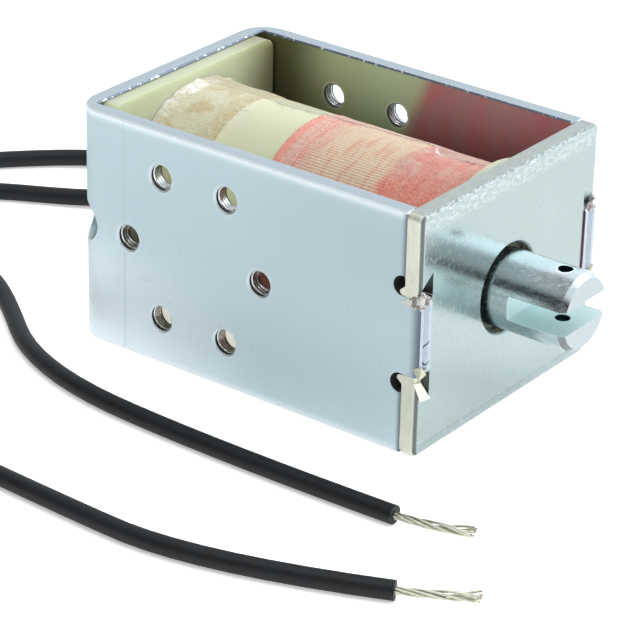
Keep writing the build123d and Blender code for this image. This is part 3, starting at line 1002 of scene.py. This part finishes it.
# %% Finish the rear cloth
cloth = Finish("cream_cloth_tape", Roughness=0.85, Sheen_Weight=0.25, Subsurface_Weight=0.1,
               Subsurface_Scale=0.001)
at, x = cloth.round_axis(cloth_radius), cloth.along("X")
threads = cloth.noise(0.35, 3.0, at=at)
stain = 0.85 * cloth.noise(4.2, 2.5, at=at, shift=2.0).ramp(0.47, 0.64)
stain = stain.either(0.8 * x.ramp(-27.5, -24.0) * cloth.noise(2.4, 2.0, at=at).ramp(0.25, 0.55))
fray = 1 - x.ramp(rear_start + 0.4, rear_start + 2.8)
fray = fray * cloth.noise(1.0, 3.0, at=at).ramp(0.35, 0.6)
round_it = cloth.part(at, "Y")
tuft = (x + 1.5 * (threads - 0.5)).near(-34.2, 0.7, 1.9) * round_it.near(0.3, 2.5, 5.0)
cream = cloth.coat(
    cloth.mix(stain, (0.62, 0.585, 0.40), (0.50, 0.395, 0.185)),
    (0.4 * threads.ramp(0.35, 0.75), (0.80, 0.77, 0.62)),
    (0.85 * fray, (0.80, 0.78, 0.71)),
    (0.9 * tuft, (0.95, 0.94, 0.90)),
)
cloth_material = cloth.surface(
    colour=show_lap(cloth, at, cream, (0.40, 0.35, 0.20), (0.62, 0.57, 0.40)),
    bump=threads + 0.5 * cloth.noise(0.12, 2.0), depth=0.12,
)
print("rear cloth finished in", cloth_material.name)

# %% Finish the smooth band
film = Finish("pale_insulation_band", Roughness=0.5, Subsurface_Weight=0.15, Subsurface_Scale=0.001)
at = film.round_axis(band_radius)
film_cloud = film.noise(4.0, 3.0)
pale_green = film.mix(film_cloud, (0.60, 0.63, 0.41), (0.68, 0.69, 0.49))
fringe = film.along("X") + 1.6 * (film.noise(1.2, 3.0, at=at) - 0.5)
pale_green = film.mix(0.8 * (1 - fringe.ramp(-22.8, -20.6)), pale_green, (0.72, 0.69, 0.50))
film_material = film.surface(
    colour=show_lap(film, at, pale_green, (0.42, 0.42, 0.27), (0.78, 0.80, 0.62)),
    roughness=0.45 + 0.2 * film_cloud, bump=film.noise(0.4, 3.0), depth=0.03,
)
print("band finished in", film_material.name)

# %% Mix the front tape's colours
weave = Finish("red_stained_glass_tape", Roughness=0.8, Sheen_Weight=0.2, Subsurface_Weight=0.1,
               Subsurface_Scale=0.001)
at, x = weave.round_axis(weave_radius), weave.along("X")
round_it = weave.part(at, "Y")
wander = x + 2.4 * (weave.noise(4.0, 2.0, at=at) - 0.5)
fibre = weave.noise(0.28, 3.0, at=at)
streak = weave.noise(0.5, 3.0, stretch=(0.7, 14, 1), at=at)
cream = weave.mix(fibre, (0.62, 0.48, 0.32), (0.76, 0.63, 0.47))
fleck = fibre.ramp(0.3, 0.7)
pink = weave.mix(fleck, (0.62, 0.36, 0.28), (0.74, 0.50, 0.41))
coral = weave.mix(fleck, (0.62, 0.20, 0.15), (0.76, 0.33, 0.25))
print("cream, pink and coral mixed")

# %% Dye the front tape
# Its rear: a coral edge, then pink with darker threads that run round the coil
rear_red = 1 - wander.ramp(-6.4, -3.6)
first_edge = 1 - (x + 0.8 * (weave.noise(4.0, 2.0, at=at) - 0.5)).ramp(-9.9, -9.4)
colour = weave.coat(
    cream,
    (rear_red, weave.mix(0.8 * streak.ramp(0.5, 0.64), pink, coral)),
    (0.85 * first_edge, weave.mix(fleck, (0.72, 0.22, 0.16), (0.80, 0.37, 0.29))),
)

# Its front: coral with soft pink clouds and a few dark dashes
front_red = wander.ramp(7.6, 9.6)
low_side = 1 - round_it.ramp(-10, -5)
cloud = weave.noise(1.7, 3.0, stretch=(1, 2.5, 1), at=at, shift=4.0).ramp(0.4, 0.68)
rosy = weave.mix(fleck, (0.66, 0.18, 0.12), (0.80, 0.34, 0.25))
rosy = weave.mix(low_side, coral, rosy)
dark_dash = weave.noise(0.6, 2.0, stretch=(0.8, 4, 1), at=at, shift=9.0).ramp(0.62, 0.7)
dark_dash = dark_dash * weave.noise(4.0, 1.0, at=at, shift=3.0).ramp(0.45, 0.55)
colour = weave.coat(
    colour,
    (front_red, weave.mix((0.9 - 0.7 * low_side) * cloud, rosy, pink)),
    (0.25 * front_red * (1 - low_side), (0.40, 0.20, 0.18)),
    (0.7 * dark_dash * front_red, (0.50, 0.07, 0.05)),
)
print("both ends of the front tape dyed")

# %% Finish the front tape's ribs
groove = 0.5 - 0.5 * (round_it * (ribs / weave_radius)).math("COSINE")
dyed = weave.noise(1.1, 2.0, stretch=(1, 5, 1), at=at).ramp(0.5, 0.64)
dashes = groove * (1 - rear_red) * (1 - front_red) * (0.2 + 0.8 * dyed)
colour = weave.mix(0.8 * dashes, colour, (0.64, 0.19, 0.12))
weave_material = weave.surface(
    colour=show_lap(weave, at, colour, (0.52, 0.36, 0.30), (0.84, 0.74, 0.68)),
    bump=fibre + 0.6 * streak, depth=0.1,
)
print("front tape finished in", weave_material.name)

# %% Wrap the three bands
wrap_inside = 17.25  # radius, just over the winding
wrap("rear_cloth_wrap", "coil_tape_rear", rear_start, band_start, wrap_inside, 48, 420,
     rear_skin, cloth_material)
wrap("smooth_band_wrap", "insulation_band", band_start, weave_start, wrap_inside, 44, 420,
     band_skin, film_material)
wrap("ribbed_weave_wrap", "coil_tape_front", weave_start, weave_end, wrap_inside, 76, 4 * ribs,
     weave_skin, weave_material)

# %% [markdown]
# ## Loose fibres
#
# Cut cloth sheds fibres. They stand up along the rear edge, lie over the joint with the smooth
# band, and run along the lap where the last turn ends. A hair system would scatter them evenly.
# Here each is a short path that wanders over the tape from a chosen place, with random turns from
# a fixed seed, and one tree gives all the paths a round section.

# %% Let fibres wander over the tape
fibre_points = 7


def skin_under(x, angle):
    """Radius of the outermost skin at one place."""
    if x < band_start:
        return rear_skin(x, angle)
    return band_skin(x, angle) if x < weave_start else weave_skin(x, angle)


def wander_off(chance, x, angle, heading, length, lift, wiggle):
    """One fibre: places from its root on the tape to its free end."""
    path = []
    for step in range(fibre_points):
        height = 0.02 + lift * step / fibre_points
        radius = skin_under(x, angle % tau) + height
        path.append(Vector((x, radius * sin(angle), axis_height + radius * cos(angle))) * mm)
        heading += chance.uniform(-wiggle, wiggle)
        x = min(22.3, max(-35.35, x + cos(heading) * length / fibre_points))
        angle += sin(heading) * length / fibre_points / cloth_radius
    return path


print("a fibre has", fibre_points, "points")

# %% Scatter the fibres
chance = Random(5)
paths = []
for _ in range(230):  # the fuzzy rear edge
    paths.append(wander_off(
        chance, -35.3 + 2.2 * chance.random() ** 2, chance.uniform(-1.5, 1.5),
        chance.uniform(0, tau), chance.uniform(0.8, 2.4), chance.uniform(0.0, 0.35), 0.5))
for _ in range(70):  # the joint with the smooth band
    paths.append(wander_off(
        chance, chance.uniform(-24.2, -22.7), chance.uniform(-1.5, 1.0), chance.uniform(-2.2, 2.2),
        chance.uniform(0.6, 1.6), chance.uniform(0.0, 0.08), 0.4))
for _ in range(150):  # along the lap
    x = chance.uniform(-22.5, 21.0)
    paths.append(wander_off(
        chance, x, (lap_place(x) + chance.uniform(-0.2, 0.3)) / coil_radius,
        chance.uniform(-0.15, 0.15),
        chance.uniform(2.0, 5.0), chance.uniform(0.0, 0.12), 0.12))
for _ in range(30):  # over the red cloth
    paths.append(wander_off(
        chance, chance.choice((chance.uniform(-11.2, -6), chance.uniform(8, 21.5))),
        chance.uniform(-1.3, 0.6), chance.uniform(1.2, 1.9), chance.uniform(0.8, 2.2),
        chance.uniform(0.0, 0.05), 0.2))
print("scattered", len(paths), "fibres")

# %% Give the fibres a round section
lint = Finish("loose_glass_fibre", Roughness=0.8)
lint_material = lint.surface(colour=lint.mix(
    lint.along("X").ramp(-12, -10), (0.80, 0.77, 0.64), (0.82, 0.60, 0.52)))
path_mesh = bpy.data.meshes.new("fibre_paths")
links = [
    (fibre_points * row + step, fibre_points * row + step + 1)
    for row in range(len(paths)) for step in range(fibre_points - 1)
]
path_mesh.from_pydata([place for path in paths for place in path], links, [])
fuzz = Pattern("loose_fibres", lint_material, Gauge=0.025 * mm)
lines = fuzz.add("GeometryNodeMeshToCurve", (), {"Mesh": fuzz.given})
loose_fibres = fuzz.make(fuzz.tube(lines, 4, fuzz["Gauge"]), "loose_fibres", path_mesh)
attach(loose_fibres, "frame")

# %% [markdown]
# ## Under the tape
#
# The winding lies under the tape and the two sleeves beside it, and little of either is ever seen.
# They still get what they are made of: turns of red enamelled wire, drawn by a sine along the
# coil, and varnished braid.

# %% Finish the winding and the splice sleeves
enamel = Finish("red_enamelled_wire", Roughness=0.3, Coat_Weight=0.4)
turns = (enamel.along("X") * (tau / 0.25)).math("SINE") * 0.5 + 0.5
dress("coil_winding", enamel.surface(
    colour=enamel.mix(turns, (0.22, 0.03, 0.02), (0.55, 0.10, 0.06)), bump=turns, depth=0.06,
))
sleeving = Finish("varnished_sleeving", Roughness=0.5)
braid = sleeving.noise(0.4, 2.0)
dress("splice_sleeves", sleeving.surface(
    colour=sleeving.mix(braid, (0.55, 0.50, 0.34), (0.72, 0.68, 0.52)), bump=braid, depth=0.06,
))

# %% [markdown]
# ## Threads in the tapped holes
#
# Each side wall has six tapped holes. A bump could suggest their threads, but they catch the light
# and show in the holes' outline. A thread is a ridge that winds down the hole, so one small
# triangle is drawn along a spiral, and the spiral is set at every hole of both walls.

# %% Cut the threads
cut_steel = Finish("cut_thread", Metallic=1.0)
swarf = cut_steel.noise(0.4, 3.0)
threads_material = cut_steel.surface(
    colour=cut_steel.mix(swarf, (0.58, 0.62, 0.63), (0.82, 0.86, 0.87)),
    roughness=0.16 + 0.1 * swarf, bump=swarf, depth=0.003,
)
hole_points = bpy.data.meshes.new("hole_centres")
hole_points.from_pydata(
    [Vector((x, side * 21.38, z)) * mm for side in (-1, 1) for x, z in tap_places], [], []
)
ridge = Pattern(
    "tapped_threads", threads_material, Major=2.12 * mm, Depth=0.42 * mm, Pitch=0.56 * mm, Turns=3.1
)
spiral = ridge.add("GeometryNodeCurveSpiral", (), {
    "Resolution": 36, "Rotations": ridge["Turns"], "Start Radius": ridge["Major"],
    "End Radius": ridge["Major"], "Height": ridge["Turns"] * ridge["Pitch"],
})
thread = ridge.tube(spiral, 3, ridge["Depth"])  # a circle of three sides is a triangle
away = ridge.part(ridge.add("GeometryNodeInputPosition"), "Y").math("SIGN")
turned_out = ridge.vector(-1 * away * (pi / 2), 0.0, 0.0)
stood = ridge.add("GeometryNodeInstanceOnPoints", (), {
    "Points": ridge.given, "Instance": thread, "Rotation": turned_out,
})
threads = ridge.make(stood, "tapped_threads", hole_points)
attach(threads, "frame")

# %% [markdown]
# ## Struck metal at the joint
#
# The chisel that locks the front joint leaves its own marks: metal pushed up in knobs above each
# tab, a flattened facet on the tab's lower corner, and a bright flap driven down into the slant
# below it. They are small and all different, so each is listed with its own place. Knobs are
# squashed balls with an uneven skin, which a voxel remesh merges into one lump, and facets are the
# hull of a few corners.

# %% Finish the struck metal
struck = Finish("struck_zinc", Metallic=0.35)
x, z, across = struck.along("X"), struck.along("Z"), abs(struck.along("Y"))
patches = struck.noise(0.9, 3.0, shift=2.0).ramp(0.34, 0.5)
proud = x.ramp(front_face - 0.1, front_face + 0.1) * (1 - across.ramp(22.8, 23.1))
tint = struck.coat(
    struck.mix(patches, (0.17, 0.14, 0.12), (0.60, 0.61, 0.57)),
    (0.65 * proud, (0.13, 0.10, 0.09)),
    (0.75 * (1 - z.ramp(15, 16)), (0.15, 0.12, 0.09)),
)
paleness = struck.add("ShaderNodeAttribute", {"attribute_name": "paleness"}, output="Fac")
blotch = struck.noise(0.5, 3.0)
beaten = struck.mix(blotch, (0.68, 0.67, 0.50), (0.80, 0.79, 0.62))
struck_material = struck.surface(
    colour=struck.mix(paleness, tint, beaten), roughness=0.35 + 0.2 * blotch,
    bump=blotch + struck.noise(0.15, 2.0), depth=0.04,
)
print("struck metal finished in", struck_material.name)

# %% Turn struck metal into an object
def stand_marks(name, form):
    """Turns a bmesh into an object that rides the frame."""
    bmesh.ops.recalc_face_normals(form, faces=form.faces)
    mesh = bpy.data.meshes.new(name)
    form.to_mesh(mesh)
    form.free()
    mesh.materials.append(struck_material)
    thing = stand(name, mesh)
    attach(thing, "frame")
    return thing


print("ready to strike")

# %% Raise the knobs
knobs = (  # place, half sizes
    ((24.75, 23.6, 25.85), (1.5, 0.27, 0.95)),
    ((26.0, 23.6, 25.9), (1.0, 0.3, 1.15)),
    ((26.9, 23.25, 27.2), (0.7, 0.55, 0.45)),
    ((27.05, 22.3, 26.0), (0.36, 1.15, 0.8)),
    ((27.0, 23.4, 25.35), (0.6, 0.5, 0.55)),
    ((26.85, 23.2, 26.2), (0.5, 0.6, 0.95)),
    ((25.5, 23.5, 14.3), (0.8, 0.25, 0.65)),
)
form = bmesh.new()
for side in (-1, 1):
    for number, (place, half) in enumerate(knobs):
        for vert in bmesh.ops.create_icosphere(form, subdivisions=3, radius=1)["verts"]:
            uneven = 1 + 0.5 * noise.noise(1.7 * vert.co + Vector((5 * number, 9 * side, 0)))
            spot = [p * uneven * h for p, h in zip(vert.co, half)]
            vert.co = Vector((
                place[0] + spot[0], side * place[1] + spot[1], place[2] + spot[2],
            )) * mm
knob_marks = stand_marks("struck_knobs", form)
merge = knob_marks.modifiers.new("merge", "REMESH")
merge.mode, merge.voxel_size, merge.use_smooth_shade = "VOXEL", 0.08 * mm, True
knob_marks.data = bpy.data.meshes.new_from_object(
    knob_marks.evaluated_get(bpy.context.evaluated_depsgraph_get()))
knob_marks.modifiers.clear()
print("merged", 2 * len(knobs), "knobs into", len(knob_marks.data.polygons), "faces")

# %% Flatten the facets
facets = (  # corners, paleness
    (((26.29, 23.95, 15.1), (27.7, 23.67, 15.68), (27.6, 22.29, 13.95), (27.39, 23.9, 13.36)), 0.6),
    (((26.8, 24.3, 12.85), (26.6, 22.2, 12.2), (27.36, 20.6, 9.17), (27.36, 23.25, 9.68)), 1.0),
)
form = bmesh.new()
shade = form.verts.layers.float.new("paleness")
for side in (-1, 1):
    for corners, pale in facets:
        hull = [form.verts.new(Vector((x - deep, side * (y - deep), z)) * mm)
                for x, y, z in corners for deep in (0, 0.35)]
        for vert in hull:
            vert[shade] = pale
        bmesh.ops.convex_hull(form, input=hull)
stand_marks("struck_facets", form)
print("flattened", len(facets), "facets a side")
